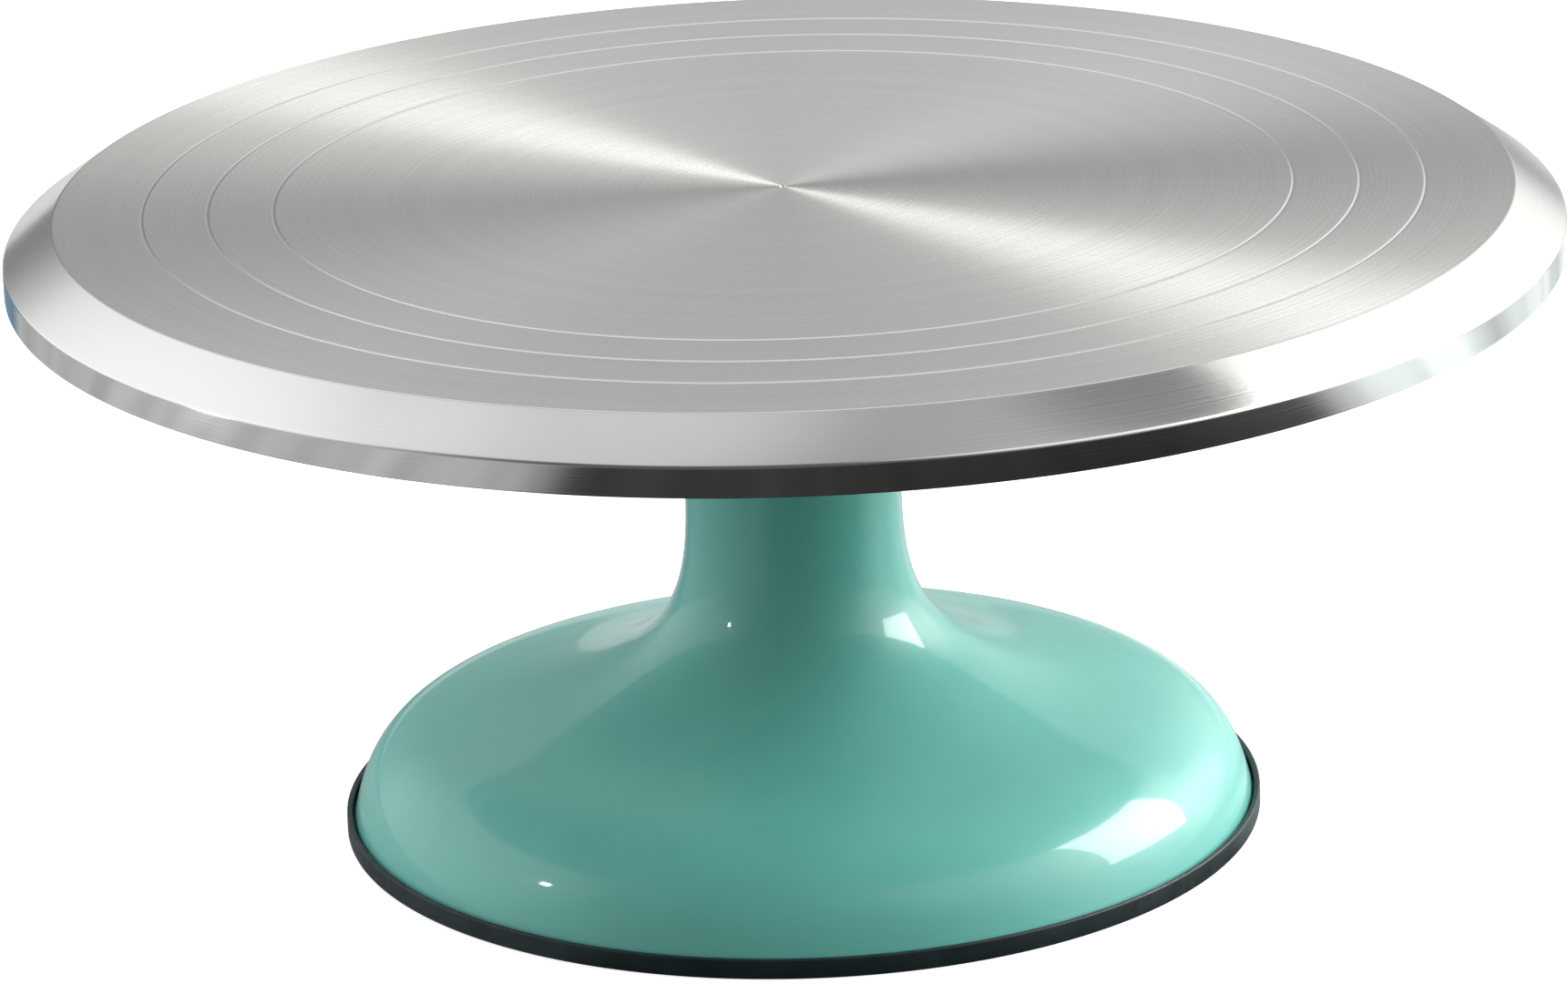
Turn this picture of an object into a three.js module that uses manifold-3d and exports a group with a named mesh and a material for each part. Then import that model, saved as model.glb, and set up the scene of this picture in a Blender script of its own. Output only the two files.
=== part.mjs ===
// A 30 cm (12 inch) revolving cake stand: a turned aluminium plate on two ball bearings in a flared cast base.
// Millimetres, +Z up. The origin is on the spin axis, at the bottom of the rubber foot ring.
import * as THREE from "three";
import { mergeVertices } from "three/addons/utils/BufferGeometryUtils.js";
import Module from "manifold-3d";

const wasm = await Module();
wasm.setup();

// ---------------------------------------------------------------- driving dimensions

const HEIGHT = 128;
const PLATE_RADIUS = 150.5;
const FOOT_RADIUS = 90.3;

// Plate: a flat top, a sloping bevel round it, an upright rim, and a web between the rim and the hub.
const BEVEL_WIDTH = 9.8;
const BEVEL_DROP = 6.8;
const RIM_DEPTH = 5.8;
const RIM_WALL = 6.5;
const WEB_THICKNESS = 4.5;
const HUB_RADIUS = 34;
const HUB_DEPTH = 5;
const GROOVE_RADII = [98.2, 110.9, 123.5];
const GROOVE_WIDTH = 0.9;
const GROOVE_DEPTH = 0.2;

// Base: a straight neck that flares into a low dome. Slopes are in degrees below the horizontal.
const NECK_RADIUS = 21.2;
const FLARE_START_HEIGHT = 66;
const SHOULDER = { radius: 35.7, height: 33.1, slope: 30.5 };
const SKIRT_EDGE = { radius: 88.4, height: 4.1, slope: 76.3 };
const FLARE_REACH = [16.8, 13.7];
const DOME_REACH = [30.5, 25.1];
const SHELL_WALL = 4.5;
const SHELL_FOOT_HEIGHT = 2;
const RIB_COUNT = 4;
const RIB_THICKNESS = 3.5;
const RIB_DEPTH = 4;

// Ball bearing, 12 x 32 x 10 mm. The balls run with a small clearance in their grooves.
const BEARING = { bore: 6, outer: 16, width: 10, pitch: 11, innerLand: 9.1, outerLand: 12.9 };
const BALL_COUNT = 7;
const BALL_RADIUS = 2.9;
const RACE_RADIUS = 3.2;
const SHIELD = { inner: 9.6, outer: 13.4, thickness: 0.8, inset: 0.2 };
const CAGE = { inner: 10.2, outer: 11.8, halfHeight: 3.7, pocket: 3.15 };

// Bearing tube in the base, and the spindle that turns in it.
const SEAT_RADIUS = 16.1;
const TUBE_BORE_RADIUS = 14.5;
const TUBE_WALL_RADIUS = 20.5;
const TUBE_BOTTOM = 36;
const LOWER_SEAT_LIP = 2;
const UPPER_SEAT_LIP = 1;
const NECK_GAP = 1.5;
const SPINDLE_RADIUS = 5.9;
const SPINDLE_END_HEIGHT = 23;
const COLLAR_RADIUS = 8.8;
const FLANGE_RADIUS = 33;
const FLANGE_THICKNESS = 5;
const SPACER = { inner: 6.1, outer: 8.5 };
const WASHER = { bore: 6.3, outer: 9, thickness: 1.5 };
const NUT = { acrossFlats: 19, bore: 6.1, hexHeight: 8.5, collarRadius: 8.2, collarHeight: 3 };
const NUT_INSERT = { outer: 7.2, height: 2.2 };

// Flange screws, M5 button head.
const SCREW = { count: 4, circle: 27, shank: 2.45, length: 10, head: 4.75, headHeight: 2.75 };
const SCREW_SOCKET = { acrossFlats: 3, depth: 1.5 };
const FLANGE_HOLE_RADIUS = 2.75;
const TAPPED_HOLE = { radius: 2.6, depth: 6 };

// Rubber ring: a channel that the base's lower edge stands in.
const RING = { innerRadius: 80.9, innerLipRadius: 82.2, outerLipRadius: 89.2, innerLipHeight: 6 };
const RING_EDGE_ROUND = 0.8;

const FINE = 56; // sides of the plate
const MEDIUM = 40; // sides of the base and its ring
const COARSE = 24; // sides of the bearings and of the spindle
const SMALL = 12; // sides of screws and of their holes

// ---------------------------------------------------------------- levels, from the top down

const WEB_UNDERSIDE = HEIGHT - WEB_THICKNESS;
const HUB_BOTTOM = WEB_UNDERSIDE - HUB_DEPTH;
const RIM_TOP = HEIGHT - BEVEL_DROP;
const RIM_BOTTOM = RIM_TOP - RIM_DEPTH;
const FLANGE_BOTTOM = HUB_BOTTOM - FLANGE_THICKNESS;
const NECK_TOP = FLANGE_BOTTOM - NECK_GAP;
const UPPER_BEARING_TOP = NECK_TOP - UPPER_SEAT_LIP;
const UPPER_BEARING_BOTTOM = UPPER_BEARING_TOP - BEARING.width;
const LOWER_BEARING_BOTTOM = TUBE_BOTTOM + LOWER_SEAT_LIP;
const LOWER_BEARING_TOP = LOWER_BEARING_BOTTOM + BEARING.width;
const WASHER_BOTTOM = LOWER_BEARING_BOTTOM - WASHER.thickness;
const NUT_HEX_BOTTOM = WASHER_BOTTOM - NUT.hexHeight;
const NUT_BOTTOM = NUT_HEX_BOTTOM - NUT.collarHeight;

// ---------------------------------------------------------------- materials

function finish(color, roughness, metalness) {
  return new THREE.MeshStandardMaterial({ color, roughness, metalness });
}

const turnedAluminium = finish(0xb9bab6, 0.32, 1);
const tealEnamel = finish(0x7fc4b6, 0.12, 0);
const blackRubber = finish(0x1d1f22, 0.75, 0);
const groundSteel = finish(0xa6a8aa, 0.28, 1);
const zincSteel = finish(0xb4b6b0, 0.4, 1);
const bearingSteel = finish(0xc4c7ca, 0.14, 1);
const pressedSteel = finish(0x9c9ea0, 0.35, 1);
const nylon = finish(0x2f66a8, 0.5, 0);

// ---------------------------------------------------------------- shape helpers

// A solid of revolution about Z from [radius, height] points, listed anticlockwise with radius to the right.
// A profile that doesn't start on the axis is closed back to its first point.
function turned(profile, sides) {
  const points = profile.map(([radius, height]) => new THREE.Vector2(radius, height));
  if (points[0].x > 0) points.push(points[0].clone());
  return new THREE.LatheGeometry(points, sides).rotateX(Math.PI / 2);
}

// A ring with a plain rectangular section.
function plainRing(inner, outer, bottom, top, sides) {
  return turned([[inner, bottom], [outer, bottom], [outer, top], [inner, top]], sides);
}

// An upright prism with six sides.
function hexPrism(acrossFlats, bottom, top) {
  const corner = acrossFlats / Math.sqrt(3);
  return turned([[0, bottom], [corner, bottom], [corner, top], [0, top]], 6);
}

// [radius, height] points of an arc, with the angles in degrees from the outward direction.
function arc(radius, height, size, from, to, steps) {
  return Array.from({ length: steps + 1 }, (_, i) => {
    const angle = THREE.MathUtils.degToRad(from + ((to - from) * i) / steps);
    return [radius + size * Math.cos(angle), height + size * Math.sin(angle)];
  });
}

// A place on a circle about the axis.
function onCircle(radius, index, count, phase = 0) {
  const angle = (2 * Math.PI * (index + phase)) / count;
  return [radius * Math.cos(angle), radius * Math.sin(angle)];
}

function solidOf(geometry) {
  const bare = geometry.clone();
  bare.deleteAttribute("normal");
  bare.deleteAttribute("uv");
  const merged = mergeVertices(bare, 1e-4);
  const vertProperties = merged.attributes.position.array;
  const triVerts = new Uint32Array(merged.index.array);
  return new wasm.Manifold(new wasm.Mesh({ numProp: 3, vertProperties, triVerts }));
}

function geometryOf(solid) {
  const { vertProperties, triVerts } = solid.getMesh();
  const geometry = new THREE.BufferGeometry();
  geometry.setAttribute("position", new THREE.BufferAttribute(vertProperties, 3));
  geometry.setIndex(new THREE.BufferAttribute(triVerts, 1));
  geometry.computeVertexNormals();
  return geometry;
}

// ---------------------------------------------------------------- the object and its pieces

const turntable = new THREE.Group();

function addPiece(name, geometry, material) {
  const mesh = new THREE.Mesh(geometry, material);
  mesh.name = name;
  turntable.add(mesh);
  return mesh;
}

// V-shaped ring grooves in the plate's top, listed from the rim inwards.
function grooveProfile() {
  const half = GROOVE_WIDTH / 2;
  return GROOVE_RADII.toReversed().flatMap((radius) => [
    [radius + half, HEIGHT],
    [radius, HEIGHT - GROOVE_DEPTH],
    [radius - half, HEIGHT],
  ]);
}

// The bevel's two ends and the rim's lower edge are broken by small chamfers.
function plateProfile() {
  const bevelInner = PLATE_RADIUS - BEVEL_WIDTH;
  const rimInner = PLATE_RADIUS - RIM_WALL;
  const edge = 0.5;
  return [
    [0, HUB_BOTTOM],
    [HUB_RADIUS, HUB_BOTTOM],
    [HUB_RADIUS + 1.5, WEB_UNDERSIDE],
    [bevelInner - 2, WEB_UNDERSIDE],
    [rimInner - 0.5, WEB_UNDERSIDE - 3.5],
    [rimInner, RIM_BOTTOM],
    [PLATE_RADIUS - edge, RIM_BOTTOM],
    [PLATE_RADIUS, RIM_BOTTOM + edge],
    [PLATE_RADIUS, RIM_TOP - edge],
    [PLATE_RADIUS - edge, RIM_TOP + edge / 2],
    [bevelInner + 1, HEIGHT - 0.35],
    [bevelInner - 0.6, HEIGHT],
    ...grooveProfile(),
    [0, HEIGHT],
  ];
}

function screwHoles(radius, bottom, depth) {
  return Array.from({ length: SCREW.count }, (_, i) => {
    const [x, y] = onCircle(SCREW.circle, i, SCREW.count, 0.5);
    const hole = turned([[0, -depth], [radius, -depth], [radius, depth], [0, depth]], SMALL);
    return solidOf(hole.translate(x, y, bottom));
  });
}

function addPlate() {
  let plate = solidOf(turned(plateProfile(), FINE));
  for (const hole of screwHoles(TAPPED_HOLE.radius, HUB_BOTTOM, TAPPED_HOLE.depth)) {
    plate = plate.subtract(hole);
  }
  addPiece("turntable_plate", geometryOf(plate), turnedAluminium);
}

function addSpindle() {
  const shaft = [
    [0, SPINDLE_END_HEIGHT],
    [SPINDLE_RADIUS - 1, SPINDLE_END_HEIGHT],
    [SPINDLE_RADIUS, SPINDLE_END_HEIGHT + 1],
    [SPINDLE_RADIUS, UPPER_BEARING_TOP],
    [COLLAR_RADIUS, UPPER_BEARING_TOP],
    [COLLAR_RADIUS, FLANGE_BOTTOM],
    [FLANGE_RADIUS - 0.6, FLANGE_BOTTOM],
    [FLANGE_RADIUS, FLANGE_BOTTOM + 0.6],
    [FLANGE_RADIUS, HUB_BOTTOM],
    [0, HUB_BOTTOM],
  ];
  let spindle = solidOf(turned(shaft, COARSE));
  for (const hole of screwHoles(FLANGE_HOLE_RADIUS, FLANGE_BOTTOM, 2 * FLANGE_THICKNESS)) {
    spindle = spindle.subtract(hole);
  }
  addPiece("spindle", geometryOf(spindle), groundSteel);
}

// A button-head screw that points up, with the underside of its head at height 0.
function screwGeometry() {
  const { shank, length, head, headHeight } = SCREW;
  const body = turned(
    [
      [0, -headHeight],
      [0.55 * head, -headHeight],
      [0.88 * head, -0.65 * headHeight],
      [head, 0],
      [shank, 0],
      [shank, length],
      [0, length],
    ],
    SMALL,
  );
  const socket = hexPrism(SCREW_SOCKET.acrossFlats, -2 * headHeight, SCREW_SOCKET.depth - headHeight);
  return geometryOf(solidOf(body).subtract(solidOf(socket)));
}

function addFlangeScrews() {
  const screw = screwGeometry();
  for (let i = 0; i < SCREW.count; i++) {
    const [x, y] = onCircle(SCREW.circle, i, SCREW.count, 0.5);
    addPiece(`flange_screw_${i + 1}`, screw, zincSteel).position.set(x, y, FLANGE_BOTTOM);
  }
}

// ---------------------------------------------------------------- base

// A curve between two points of the base's outline, leaving and arriving along the slopes given.
function outlineCurve(start, end, [leave, arrive]) {
  const along = ({ slope }) => {
    const angle = THREE.MathUtils.degToRad(slope);
    return new THREE.Vector2(Math.cos(angle), -Math.sin(angle));
  };
  const from = new THREE.Vector2(start.radius, start.height);
  const to = new THREE.Vector2(end.radius, end.height);
  return new THREE.CubicBezierCurve(
    from,
    from.clone().addScaledVector(along(start), leave),
    to.clone().addScaledVector(along(end), -arrive),
    to,
  );
}

const neckEnd = { radius: NECK_RADIUS, height: FLARE_START_HEIGHT, slope: 90 };
const flareCurve = outlineCurve(neckEnd, SHOULDER, FLARE_REACH);
const domeCurve = outlineCurve(SHOULDER, SKIRT_EDGE, DOME_REACH);

// [radius, height] points down a curve, moved inwards through the wall by a distance.
function pointsInside(curve, steps, distance) {
  return Array.from({ length: steps + 1 }, (_, i) => {
    const point = curve.getPoint(i / steps);
    const way = curve.getTangent(i / steps);
    return [point.x + way.y * distance, point.y - way.x * distance];
  });
}

// The same, down the whole outline of the flare and the dome.
function outlineInside(distance, flareSteps, domeSteps) {
  const flare = pointsInside(flareCurve, flareSteps, distance).slice(0, -1);
  return [...flare, ...pointsInside(domeCurve, domeSteps, distance)];
}

function shellProfile() {
  const edgeAngle = THREE.MathUtils.degToRad(SKIRT_EDGE.slope);
  const footOuter = SKIRT_EDGE.radius + (SKIRT_EDGE.height - SHELL_FOOT_HEIGHT) / Math.tan(edgeAngle);
  const ceiling = outlineInside(SHELL_WALL, 6, 6).filter(([radius]) => radius > TUBE_WALL_RADIUS + 1);
  const [[, ceilingHeight]] = ceiling;
  const [footInner] = ceiling.at(-1);
  const chamfer = 0.8;
  return [
    [SEAT_RADIUS, TUBE_BOTTOM],
    [TUBE_WALL_RADIUS, TUBE_BOTTOM],
    [TUBE_WALL_RADIUS, ceilingHeight + 0.5],
    ...ceiling,
    [footInner, SHELL_FOOT_HEIGHT],
    [footOuter, SHELL_FOOT_HEIGHT],
    ...outlineInside(0, 6, 8).reverse(),
    [NECK_RADIUS, NECK_TOP - chamfer],
    [NECK_RADIUS - chamfer, NECK_TOP],
    [SEAT_RADIUS, NECK_TOP],
    [SEAT_RADIUS, UPPER_BEARING_BOTTOM],
    [TUBE_BORE_RADIUS, UPPER_BEARING_BOTTOM],
    [TUBE_BORE_RADIUS, LOWER_BEARING_TOP],
    [SEAT_RADIUS, LOWER_BEARING_TOP],
  ];
}

// One upright rib along +X, from the bearing tube to the skirt. Its upper edge lies inside the shell's wall.
function ribGeometry() {
  const tubeMiddle = (SEAT_RADIUS + TUBE_WALL_RADIUS) / 2;
  const foot = TUBE_BOTTOM + 0.5;
  const upper = outlineInside(SHELL_WALL / 2, 6, 8).slice(4, -1);
  const lower = pointsInside(domeCurve, 8, SHELL_WALL + RIB_DEPTH).slice(0, -2).reverse();
  const start = [[tubeMiddle, foot], [tubeMiddle, upper[0][1]]];
  const outline = [...start, ...upper, ...lower, [TUBE_WALL_RADIUS + 1.5, foot]];
  const shape = new THREE.Shape(outline.map(([radius, height]) => new THREE.Vector2(radius, height)));
  const slab = new THREE.ExtrudeGeometry(shape, { depth: RIB_THICKNESS, bevelEnabled: false });
  return slab.translate(0, 0, -RIB_THICKNESS / 2).rotateX(Math.PI / 2);
}

function addBaseShell() {
  let shell = solidOf(turned(shellProfile(), MEDIUM));
  for (let i = 0; i < RIB_COUNT; i++) {
    shell = shell.add(solidOf(ribGeometry().rotateZ((2 * Math.PI * (i + 0.5)) / RIB_COUNT)));
  }
  addPiece("base_shell", geometryOf(shell), tealEnamel);
}

function addFootRing() {
  const { innerRadius, innerLipRadius, outerLipRadius, innerLipHeight } = RING;
  const section = [
    [innerRadius + 0.6, 0],
    [FOOT_RADIUS - 0.6, 0],
    [FOOT_RADIUS, 0.6],
    ...arc(FOOT_RADIUS - RING_EDGE_ROUND, SKIRT_EDGE.height - RING_EDGE_ROUND, RING_EDGE_ROUND, 0, 90, 3),
    [outerLipRadius, SKIRT_EDGE.height - 0.2],
    [outerLipRadius, SHELL_FOOT_HEIGHT],
    [innerLipRadius, SHELL_FOOT_HEIGHT],
    [innerLipRadius, innerLipHeight],
    [innerRadius, innerLipHeight],
    [innerRadius, 0.6],
  ];
  addPiece("foot_ring", turned(section, MEDIUM), blackRubber);
}

// ---------------------------------------------------------------- bearings

// Half a ball groove's angle, in degrees, where it meets the lands of the rings.
const RACE_HALF_RADIANS = Math.acos((BEARING.pitch - BEARING.innerLand) / RACE_RADIUS);
const RACE_HALF_ANGLE = THREE.MathUtils.radToDeg(RACE_HALF_RADIANS);

function innerRingGeometry() {
  const { bore, innerLand, pitch, width } = BEARING;
  const half = width / 2;
  const groove = arc(pitch, 0, RACE_RADIUS, 180 + RACE_HALF_ANGLE, 180 - RACE_HALF_ANGLE, 4);
  return turned([[bore, -half], [innerLand, -half], ...groove, [innerLand, half], [bore, half]], COARSE);
}

function outerRingGeometry() {
  const { outer, outerLand, pitch, width } = BEARING;
  const half = width / 2;
  const step = half - SHIELD.inset - SHIELD.thickness - 0.1;
  const recess = SHIELD.outer + 0.2;
  const groove = arc(pitch, 0, RACE_RADIUS, RACE_HALF_ANGLE, -RACE_HALF_ANGLE, 4);
  const upperEdge = [[outer, half], [recess, half], [recess, step], [outerLand, step]];
  const lowerEdge = [[outerLand, -step], [recess, -step], [recess, -half]];
  return turned([[outer, -half], ...upperEdge, ...groove, ...lowerEdge], COARSE);
}

// A band round the balls' pitch circle, with a round pocket for each ball.
function cageGeometry() {
  const { inner, outer, halfHeight, pocket } = CAGE;
  let cage = solidOf(plainRing(inner, outer, -halfHeight, halfHeight, 4 * BALL_COUNT));
  for (let i = 0; i < BALL_COUNT; i++) {
    const cutter = new THREE.CylinderGeometry(pocket, pocket, outer - inner + 4, SMALL);
    cutter.rotateZ(Math.PI / 2).translate(BEARING.pitch, 0, 0);
    cage = cage.subtract(solidOf(cutter.rotateZ((2 * Math.PI * i) / BALL_COUNT)));
  }
  return geometryOf(cage);
}

function addBearing(prefix, bottom) {
  const centre = bottom + BEARING.width / 2;
  const shieldTop = BEARING.width / 2 - SHIELD.inset;
  const shield = plainRing(SHIELD.inner, SHIELD.outer, shieldTop - SHIELD.thickness, shieldTop, COARSE);
  const ball = new THREE.IcosahedronGeometry(BALL_RADIUS, 1);
  addPiece(`${prefix}_inner_ring`, innerRingGeometry(), bearingSteel).position.z = centre;
  addPiece(`${prefix}_outer_ring`, outerRingGeometry(), bearingSteel).position.z = centre;
  addPiece(`${prefix}_cage`, cageGeometry(), pressedSteel).position.z = centre;
  addPiece(`${prefix}_top_shield`, shield, pressedSteel).position.z = centre;
  const bottomShield = addPiece(`${prefix}_bottom_shield`, shield, pressedSteel);
  bottomShield.rotation.x = Math.PI;
  bottomShield.position.z = centre;
  for (let i = 0; i < BALL_COUNT; i++) {
    const [x, y] = onCircle(BEARING.pitch, i, BALL_COUNT);
    addPiece(`${prefix}_ball_${i + 1}`, ball, bearingSteel).position.set(x, y, centre);
  }
}

// ---------------------------------------------------------------- what holds the spindle in its bearings

function addSpacer() {
  const { inner, outer } = SPACER;
  const tube = plainRing(inner, outer, LOWER_BEARING_TOP, UPPER_BEARING_BOTTOM, COARSE);
  addPiece("bearing_spacer", tube, zincSteel);
}

function addWasher() {
  const ring = plainRing(WASHER.bore, WASHER.outer, WASHER_BOTTOM, LOWER_BEARING_BOTTOM, COARSE);
  addPiece("spindle_washer", ring, zincSteel);
}

// A hexagon nut with a round collar below it. The collar is bored out for the nylon insert.
function addNut() {
  const { acrossFlats, bore: boreRadius, collarRadius } = NUT;
  const pocketRadius = NUT_INSERT.outer + 0.1;
  const insertTop = NUT_BOTTOM + NUT_INSERT.height;
  const pocketTop = insertTop + 0.1;
  const collarTop = NUT_HEX_BOTTOM + 1;
  const hex = hexPrism(acrossFlats, NUT_HEX_BOTTOM, WASHER_BOTTOM);
  const collar = turned(
    [[0, NUT_BOTTOM], [collarRadius, NUT_BOTTOM], [collarRadius, collarTop], [0, collarTop]],
    COARSE,
  );
  const bore = turned(
    [
      [0, NUT_BOTTOM - 1],
      [pocketRadius, NUT_BOTTOM - 1],
      [pocketRadius, pocketTop],
      [boreRadius, pocketTop],
      [boreRadius, WASHER_BOTTOM + 1],
      [0, WASHER_BOTTOM + 1],
    ],
    COARSE,
  );
  const nut = solidOf(hex).add(solidOf(collar)).subtract(solidOf(bore));
  addPiece("spindle_nut", geometryOf(nut), zincSteel);
  const insert = plainRing(boreRadius, NUT_INSERT.outer, NUT_BOTTOM, insertTop, COARSE);
  addPiece("spindle_nut_insert", insert, nylon);
}

addPlate();
addSpindle();
addFlangeScrews();
addBaseShell();
addFootRing();
addBearing("upper_bearing", UPPER_BEARING_BOTTOM);
addBearing("lower_bearing", LOWER_BEARING_BOTTOM);
addSpacer();
addWasher();
addNut();

export default turntable;
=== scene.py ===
from math import acos, cos, degrees, hypot, pi, radians, sin, sqrt, tan

import bmesh
import bpy
from mathutils import Matrix, Vector


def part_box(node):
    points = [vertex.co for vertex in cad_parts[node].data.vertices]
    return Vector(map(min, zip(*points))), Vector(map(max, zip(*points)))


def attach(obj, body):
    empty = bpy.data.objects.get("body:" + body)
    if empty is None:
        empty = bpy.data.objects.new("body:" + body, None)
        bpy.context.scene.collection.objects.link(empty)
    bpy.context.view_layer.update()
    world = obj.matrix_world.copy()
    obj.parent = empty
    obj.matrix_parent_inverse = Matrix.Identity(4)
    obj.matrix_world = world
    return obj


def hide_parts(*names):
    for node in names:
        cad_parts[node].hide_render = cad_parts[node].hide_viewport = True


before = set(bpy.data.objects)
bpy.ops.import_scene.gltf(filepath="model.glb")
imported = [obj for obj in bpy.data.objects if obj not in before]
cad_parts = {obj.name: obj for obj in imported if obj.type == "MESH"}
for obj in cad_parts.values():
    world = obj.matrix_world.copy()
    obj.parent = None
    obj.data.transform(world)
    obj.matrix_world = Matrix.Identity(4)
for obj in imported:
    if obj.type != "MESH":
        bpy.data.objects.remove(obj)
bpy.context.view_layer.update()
MM = 0.001

# ---------------------------------------------------------------- sizes that the frame gives

PLATE_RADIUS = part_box("turntable_plate")[1].x
PLATE_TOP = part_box("turntable_plate")[1].z
RIM_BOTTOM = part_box("turntable_plate")[0].z
FOOT_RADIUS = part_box("foot_ring")[1].x
RING_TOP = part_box("foot_ring")[1].z
SHELL_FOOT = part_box("base_shell")[0].z
NECK_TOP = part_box("base_shell")[1].z
SPINDLE_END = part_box("spindle")[0].z
HUB_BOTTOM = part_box("spindle")[1].z
FLANGE_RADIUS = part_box("spindle")[1].x
SPACER_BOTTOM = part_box("bearing_spacer")[0].z
SPACER_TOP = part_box("bearing_spacer")[1].z
SPACER_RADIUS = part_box("bearing_spacer")[1].x
WASHER_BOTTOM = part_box("spindle_washer")[0].z
WASHER_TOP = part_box("spindle_washer")[1].z
WASHER_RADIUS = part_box("spindle_washer")[1].x
NUT_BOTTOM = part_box("spindle_nut")[0].z
INSERT_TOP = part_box("spindle_nut_insert")[1].z
INSERT_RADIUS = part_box("spindle_nut_insert")[1].x

# ---------------------------------------------------------------- sizes that the boxes don't show

BEVEL_WIDTH = 9.8 * MM
BEVEL_DROP = 6.8 * MM
RIM_WALL = 6.5 * MM
WEB_THICKNESS = 4.5 * MM
HUB_RADIUS = 34 * MM
GROOVE_RADII = [98.2 * MM, 110.9 * MM, 123.5 * MM]
GROOVE_HALF_WIDTH = 0.45 * MM
GROOVE_DEPTH = 0.16 * MM

NECK_RADIUS = 21.2 * MM
FLARE_START = 66 * MM
SHOULDER = {"radius": 35.7 * MM, "height": 33.1 * MM, "slope": 30.5}
SKIRT_EDGE = {"radius": 88.4 * MM, "height": 4.1 * MM, "slope": 76.3}
FLARE_REACH = (16.8 * MM, 13.7 * MM)
DOME_REACH = (30.5 * MM, 25.1 * MM)
SHELL_WALL = 4.5 * MM
RIB_COUNT = 4
RIB_THICKNESS = 3.5 * MM
RIB_DEPTH = 4 * MM
RIB_LOWER_START = 28 * MM
TUBE_WALL_RADIUS = 20.5 * MM
TUBE_BORE_RADIUS = 14.5 * MM
TUBE_BOTTOM = 36 * MM
SEAT_RADIUS = 16.1 * MM

RING_INNER_RADIUS = 80.9 * MM
INNER_LIP_RADIUS = 82.2 * MM
OUTER_LIP_RADIUS = 89.2 * MM

SPINDLE_RADIUS = 5.9 * MM
COLLAR_RADIUS = 8.8 * MM
FLANGE_BOTTOM = 113.5 * MM
THREAD_TOP = 36 * MM
SPINDLE_THREAD = {"pitch": 1.5 * MM, "depth": 0.85 * MM}

SCREW_CIRCLE = 27 * MM
SCREW_COUNT = 4
SCREW_SHANK = 2.45 * MM
SCREW_LENGTH = 10 * MM
SCREW_HEAD = 4.75 * MM
SCREW_HEAD_HEIGHT = 2.75 * MM
SCREW_THREAD = {"pitch": 0.8 * MM, "depth": 0.4 * MM}
SOCKET_ACROSS_FLATS = 3 * MM
SOCKET_DEPTH = 1.5 * MM
FLANGE_HOLE_RADIUS = 2.75 * MM
TAPPED_HOLE_RADIUS = 2.6 * MM
TAPPED_HOLE_DEPTH = 6 * MM

BEARING_BORE = 6 * MM
BEARING_RADIUS = 16 * MM
BEARING_WIDTH = 10 * MM
PITCH_RADIUS = 11 * MM
INNER_LAND = 9.1 * MM
OUTER_LAND = 12.9 * MM
BALL_COUNT = 7
BALL_RADIUS = 2.9 * MM
RACE_RADIUS = 3.2 * MM
SHIELD_INNER = 9.6 * MM
SHIELD_OUTER = 13.4 * MM
SHIELD_THICKNESS = 0.8 * MM
SHIELD_INSET = 0.2 * MM
CAGE_INNER = 10.2 * MM
CAGE_OUTER = 11.8 * MM
CAGE_HALF_HEIGHT = 3.7 * MM
POCKET_RADIUS = 3.15 * MM

BUSH_BORE = 6.1 * MM
WASHER_BORE = 6.3 * MM
NUT_ACROSS_FLATS = 19 * MM
NUT_HEX_BOTTOM = 28 * MM
NUT_COLLAR_RADIUS = 8.2 * MM

FINE = 288  # sides of the plate and of the base
MEDIUM = 96  # sides of the bearings and of the spindle
SMALL = 32  # sides of screws and of their holes
CAGE_SIDES = 12 * BALL_COUNT
BALL_SIDES = 36
BALL_ROWS = 20
ARC_STEPS = 5  # steps round a small edge
THREAD_ROWS = 8  # rows of points to one turn of a thread
SHARP_ANGLE = radians(35)  # edges sharper than this stay sharp

# ---------------------------------------------------------------- outlines, as lists of (radius, height)


def arc(radius, height, size, start, end, steps=ARC_STEPS):
    """Points of an arc, with the angles in degrees from the outward direction."""
    angles = [radians(start + (end - start) * i / steps) for i in range(steps + 1)]
    return [(radius + size * cos(a), height + size * sin(a)) for a in angles]


def rounded(corners):
    """An outline whose corners (radius, height, rounding) are rounded where they give a rounding."""
    longest = 0.45  # the most of a side that one corner's rounding takes up
    points = []
    count = len(corners)
    for i, (x, y, size) in enumerate(corners):
        if size == 0:
            points.append((x, y))
            continue
        corner = Vector((x, y))
        before = Vector(corners[i - 1][:2]) - corner
        after = Vector(corners[(i + 1) % count][:2]) - corner
        reach = min(size, longest * before.length, longest * after.length)
        start = corner + before.normalized() * reach
        end = corner + after.normalized() * reach
        for step in range(ARC_STEPS + 1):
            t = step / ARC_STEPS
            point = (1 - t) ** 2 * start + 2 * t * (1 - t) * corner + t * t * end
            points.append((point.x, point.y))
    return points


def bezier(start, end, reaches, steps):
    """A curve between two places on the base's outline that leaves and arrives along their slopes."""
    def along(place):
        return Vector((cos(radians(place["slope"])), -sin(radians(place["slope"]))))

    p0 = Vector((start["radius"], start["height"]))
    p3 = Vector((end["radius"], end["height"]))
    p1 = p0 + along(start) * reaches[0]
    p2 = p3 - along(end) * reaches[1]
    points = []
    for i in range(steps + 1):
        t = i / steps
        s = 1 - t
        points.append(s**3 * p0 + 3 * s * s * t * p1 + 3 * s * t * t * p2 + t**3 * p3)
    return points


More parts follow.
